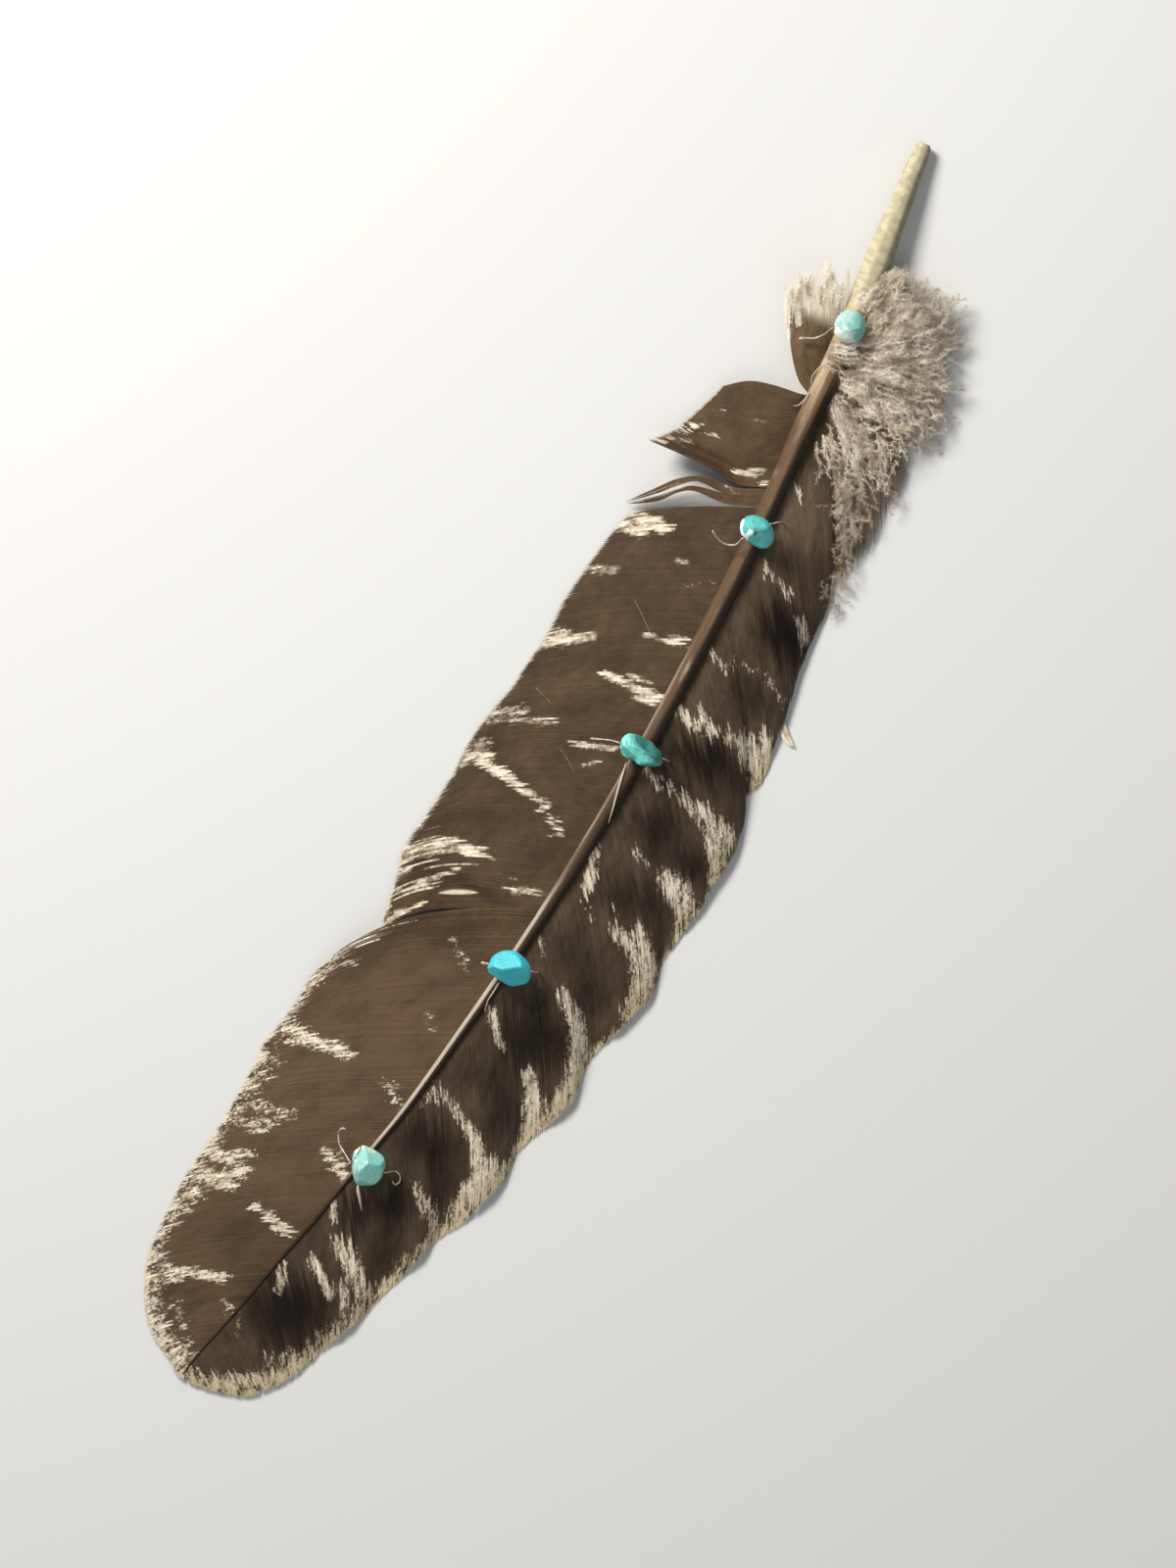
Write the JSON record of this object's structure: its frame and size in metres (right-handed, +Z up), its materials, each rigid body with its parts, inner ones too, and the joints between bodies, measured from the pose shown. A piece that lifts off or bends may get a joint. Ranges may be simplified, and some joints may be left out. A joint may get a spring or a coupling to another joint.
{
  "type": "turkey tail feather",
  "caption": "Brown barred turkey tail feather with a bare quill, downy base and split vane, dressed with turquoise nuggets wired along its shaft.",
  "frame": {"origin": "middle of the overall box in plan, at the surface the feather lies on", "axes": "+Y along the feather towards the cut quill, the tip towards -Y; +Z up out of the shaft's upper side, where the nuggets are; the wider vane is towards +X at mid length"},
  "size_m": [0.0714, 0.3034, 0.0174],
  "materials": {
    "feather": "matte",
    "turquoise": "satin",
    "wire": "satin"
  },
  "bodies": {
    "root": {"feather": "feather", "turquoise_nugget_1": "turquoise", "turquoise_nugget_2": "turquoise", "turquoise_nugget_3": "turquoise", "turquoise_nugget_4": "turquoise", "turquoise_nugget_5": "turquoise", "tie_wire_1": "wire", "tie_wire_2": "wire", "tie_wire_3": "wire", "tie_wire_4": "wire", "tie_wire_5": "wire"}
  },
  "joints": []
}
